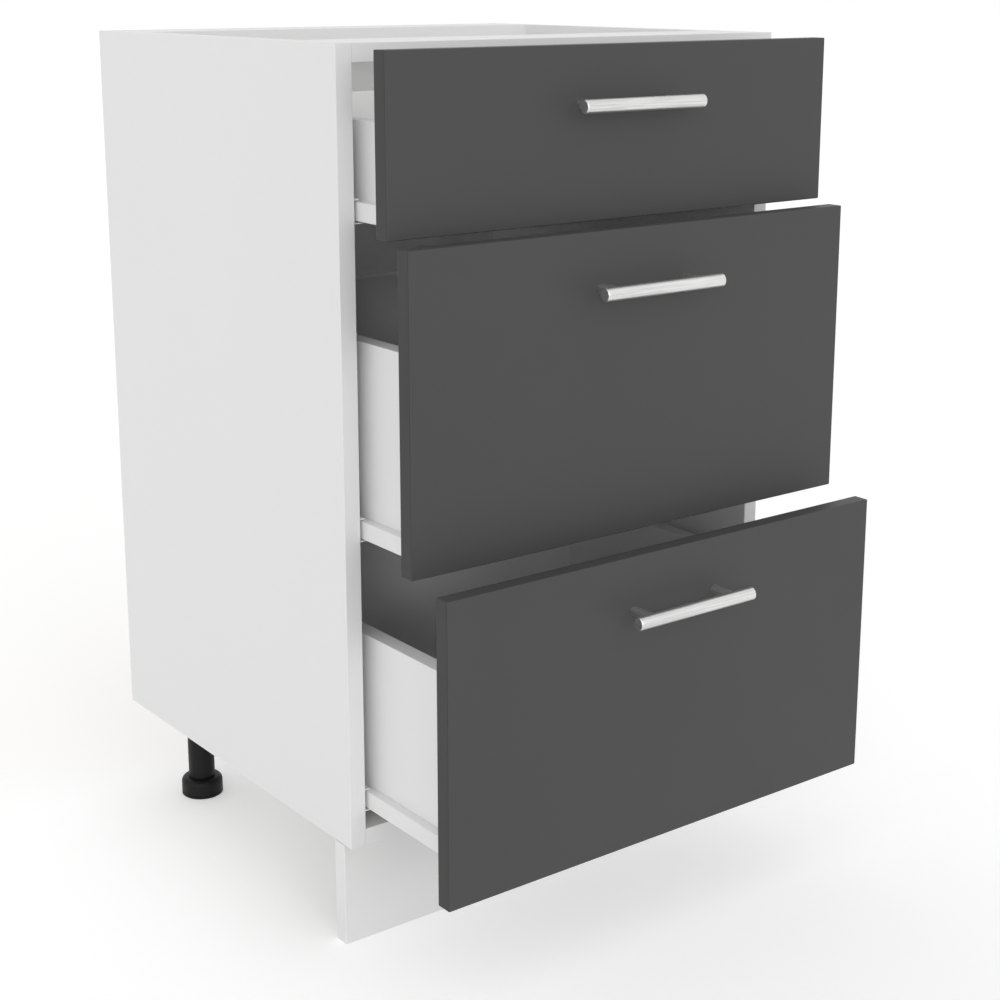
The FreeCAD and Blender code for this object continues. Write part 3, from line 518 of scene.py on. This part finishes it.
def solids(node):
    """The points of each separate solid of a CAD node."""
    mesh = bmesh.new()
    mesh.from_mesh(frame["nodes"][node].data)
    bmesh.ops.remove_doubles(mesh, verts=mesh.verts, dist=SAME_POINT)
    found, seen = [], set()
    for start in mesh.verts:
        if start in seen:
            continue
        seen.add(start)
        group = [start]
        for vertex in group:
            fresh = [edge.other_vert(vertex) for edge in vertex.link_edges]
            fresh = [other for other in fresh if other not in seen]
            seen.update(fresh)
            group += fresh
        found.append([vertex.co.copy() for vertex in group])
    mesh.free()
    return found


def screw(mesh, length, head, head_height, shank, pitch, outline, depth):
    """A threaded screw with a rounded head, or with a flush one where it has no head height."""
    neck = length - head_height
    core = shank / 2 * CORE
    tip = min(shank, neck / 3)
    profile = [(POINT * shank / 2, 0), (core, tip), (core, neck * THREAD_TOP), (shank / 2, neck * SHANK_LOW)]
    if head_height:
        profile += [(shank / 2, neck), (head / 2, neck)]
        profile += rounded(head / 2, length, head_height * HEAD_ROUNDING)
    else:
        profile += [(head / 2, length - FLUSH_BEVEL), (head / 2 - FLUSH_BEVEL, length)]
    thread(mesh, shank / 2, pitch, tip * TIP_THREAD, neck * THREAD_TOP)
    recess(mesh, turned(mesh, profile), outline, depth)


def cam(mesh, height):
    """A cam housing: a drum with a bevelled rim, a sunk face and a cross recess."""
    rim = turned(mesh, [(r * MM, height + z * MM) for r, z in CAM_PROFILE], CAM_SIDES)
    recess(mesh, rim, CAM_CROSS, CAM_CROSS_DEPTH)


def cam_bolt(mesh, length):
    """A cam bolt: thread, collar, thin neck and round head."""
    profile = [(r * MM, z * MM) for r, z in BOLT_PROFILE]
    profile += [(BOLT_NECK, length - BOLT_NECK_TOP), (BOLT_HEAD, length - BOLT_HEAD_LOW)]
    profile += rounded(BOLT_HEAD, length, BOLT_ROUNDING)
    mesh.faces.new(turned(mesh, profile))
    thread(mesh, BOLT_DIAMETER / 2, BOLT_PITCH, *BOLT_THREAD)


def fastener(points):
    """A detailed fastener in the place of one plain solid, as mesh data in the frame's coordinates."""
    low = Vector([min(axis) for axis in zip(*points)])
    high = Vector([max(axis) for axis in zip(*points)])
    size = high - low
    drum = max(size) - CAM_DIAMETER > -CLOSE and sorted(size)[1] > CAM_DIAMETER - CLOSE
    along = list(size).index(min(size) if drum else max(size))
    length = size[along]
    wide = max(size[(along + 1) % 3], size[(along + 2) % 3])
    mesh = bmesh.new()
    inwards = -math.copysign(1, low.x)
    if drum:
        cam(mesh, length)
        way = -1 if along == 2 else inwards     # it shows its face below a board, or inside a drawer side
    elif abs(wide - BOLT_DIAMETER) < CLOSE:
        cam_bolt(mesh, length)
        way = 1 if along == 1 else inwards      # its head is behind a drawer front, or inside a side panel
    else:
        head = min(SCREWS, key=lambda diameter: abs(diameter - wide))
        screw(mesh, length, head, *SCREWS[head])
        way = head_side(points, along, (low + high) / 2, wide)
    pointing = Vector([way if k == along else 0 for k in range(3)])
    tip = (low + high) / 2 - pointing * length / 2
    turning = pointing.to_track_quat("Z", "Y").to_matrix().to_4x4()
    bmesh.ops.transform(mesh, matrix=Matrix.Translation(tip) @ turning, verts=mesh.verts)
    return mesh


def head_side(points, along, middle, wide):
    """1 or -1: the end of a screw's axis where its head is, or the outer end of a screw with a flush head."""
    others = [k for k in range(3) if k != along]
    broad = [p for p in points if max(abs(p[k] - middle[k]) for k in others) > wide / 2 - CLOSE]
    offset = sum(p[along] - middle[along] for p in broad) / len(broad)
    return math.copysign(1, offset if abs(offset) > CLOSE else middle[along])


def detail_fasteners(node):
    """Replace the plain solids of a node with detailed ones."""
    whole = bmesh.new()
    for points in solids(node):
        part = fastener(points)
        data = bpy.data.meshes.new("part")
        part.to_mesh(data)
        part.free()
        whole.from_mesh(data)
        bpy.data.meshes.remove(data)
    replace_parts(piece(f"{node}_detailed", whole, ZINC_PLATED, body_under(node)), node)


for fastener_node in ("carcass_screws", "cam_housings", "cam_bolts"):
    detail_fasteners(fastener_node)
for level in LEVELS:
    detail_fasteners(f"drawer_fasteners_{level}")


# ---------------------------------------------------------------- levelling feet

FOOT_SIDES = 64
FOOT_HEIGHT = 20 * MM
FOOT_ROUNDING = 5.5 * MM
FOOT_ROUNDING_STEPS = 10
# millimetres inside the foot's radius and above the floor, from its lower rim up over the fine step
FOOT_RIM = ((1.0, 0), (0, 0.8), (0, 3.0), (0.5, 3.3), (0.5, 3.9), (0, 4.2))
FOOT_PITCH = 1.5 * MM
SPINDLE_RADIUS = 5.0 * MM
SPINDLE_BEVEL = 1.0 * MM
SPINDLE_END = 0.7               # radius of the spindle's upper end, as a share of its crest


def levelling_foot(node):
    """A foot with a rounded shoulder, a fine step under its rim and a threaded spindle."""
    low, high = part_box(node)
    radius = (high.x - low.x) / 2
    mesh = bmesh.new()
    profile = [(radius - inset * MM, height * MM) for inset, height in FOOT_RIM]
    profile += rounded(radius, FOOT_HEIGHT, FOOT_ROUNDING, FOOT_ROUNDING_STEPS)
    profile += [(SPINDLE_RADIUS * CORE, FOOT_HEIGHT), (SPINDLE_RADIUS * CORE, high.z - SPINDLE_BEVEL)]
    profile.append((SPINDLE_RADIUS * SPINDLE_END, high.z))
    mesh.faces.new(turned(mesh, profile, FOOT_SIDES))
    thread(mesh, SPINDLE_RADIUS, FOOT_PITCH, FOOT_HEIGHT, high.z - SPINDLE_BEVEL)
    bmesh.ops.translate(mesh, verts=mesh.verts, vec=((low.x + high.x) / 2, (low.y + high.y) / 2, low.z))
    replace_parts(piece(f"{node}_detailed", mesh, BLACK_PLASTIC, body_under(node)), node)


for end in ("front", "rear"):
    for hand in HANDS:
        levelling_foot(f"foot_{end}_{hand}")


# ---------------------------------------------------------------- floor, light and camera

FLOOR_COLOUR = (0.88, 0.88, 0.88)
FLOOR_HALF = 30.0
FLOOR_ROUGHNESS = 0.9
FLOOR_LIFT = 0.31               # glow of the floor where it is seen, so that it shows white
WORLD_LEVEL = 0.75              # light of the world; where it is seen it has the full level of 1
# strength, angular width and direction of the soft lamps: beside the camera, in front and to the left
LAMPS = {"camera_side": (0.29, math.radians(12), Vector((-0.586, -0.778, 0.225))),
         "front": (0.25, math.radians(20), Vector((-0.168, -0.951, 0.259))),
         "left": (0.25, math.radians(20), Vector((-0.720, -0.604, 0.342)))}

CAMERA_PLACE = Vector((-1.0571, -1.4225, 0.8689))
CAMERA_AZIMUTH = math.radians(37.035)
CAMERA_TILT = math.radians(13.485)
CAMERA_LENS = 65.88
CAMERA_SHIFT = -0.085
CAMERA_REACH = 100.0


def floor():
    """A pale floor that shows white to the camera where nothing shades it."""
    mesh = bpy.data.meshes.new("floor")
    corners = [(x * FLOOR_HALF, y * FLOOR_HALF, 0) for x, y in ((-1, -1), (1, -1), (1, 1), (-1, 1))]
    mesh.from_pydata(corners, [], [(0, 1, 2, 3)])
    plane = bpy.data.objects.new("floor", mesh)
    bpy.context.scene.collection.objects.link(plane)
    finish = Finish("floor", gloss=NO_GLOSS)
    finish.colour(FLOOR_COLOUR)
    finish.roughness(FLOOR_ROUGHNESS)
    rays = finish.node("ShaderNodeLightPath").outputs
    seen = finish.math("MAXIMUM", rays["Is Camera Ray"], rays["Is Glossy Ray"])
    seen = finish.math("MAXIMUM", seen, rays["Is Transmission Ray"])
    finish.put(finish.shader.inputs["Emission Color"], FULL_WHITE)
    finish.put(finish.shader.inputs["Emission Strength"], finish.math("MULTIPLY", seen, FLOOR_LIFT))
    mesh.materials.append(finish.material)


def world():
    """Even pale light from all round, seen as white."""
    made = bpy.data.worlds.new("studio")
    bpy.context.scene.world = made
    made.use_nodes = True
    tree = made.node_tree
    rays = tree.nodes.new("ShaderNodeLightPath").outputs
    level = tree.nodes.new("ShaderNodeMapRange")
    level.inputs["To Min"].default_value = WORLD_LEVEL
    level.inputs["To Max"].default_value = 1.0
    seen = rays["Is Camera Ray"]
    for name in ("Is Glossy Ray", "Is Transmission Ray"):
        both = tree.nodes.new("ShaderNodeMath")
        both.operation = "MAXIMUM"
        tree.links.new(seen, both.inputs[0])
        tree.links.new(rays[name], both.inputs[1])
        seen = both.outputs[0]
    tree.links.new(seen, level.inputs["Value"])
    tree.links.new(level.outputs[0], tree.nodes["Background"].inputs["Strength"])
    tree.nodes["Background"].inputs["Color"].default_value = (*FULL_WHITE, 1.0)


def lamps():
    """Soft lamps from far away."""
    for name, (strength, width, source) in LAMPS.items():
        lamp = bpy.data.lights.new(name, "SUN")
        lamp.energy = strength
        lamp.angle = width
        holder = bpy.data.objects.new(name, lamp)
        holder.rotation_euler = source.to_track_quat("Z", "Y").to_euler()
        bpy.context.scene.collection.objects.link(holder)


def camera():
    """The photograph's standpoint, tilted down in the place of most of its picture shift."""
    data = bpy.data.cameras.new("camera")
    data.lens = CAMERA_LENS
    data.shift_y = CAMERA_SHIFT
    data.clip_end = CAMERA_REACH
    holder = bpy.data.objects.new("camera", data)
    holder.location = CAMERA_PLACE
    holder.rotation_euler = (math.pi / 2 - CAMERA_TILT, 0, -CAMERA_AZIMUTH)
    bpy.context.scene.collection.objects.link(holder)
    bpy.context.scene.camera = holder


floor()
world()
lamps()
camera()
bpy.context.scene.view_settings.view_transform = "Standard"
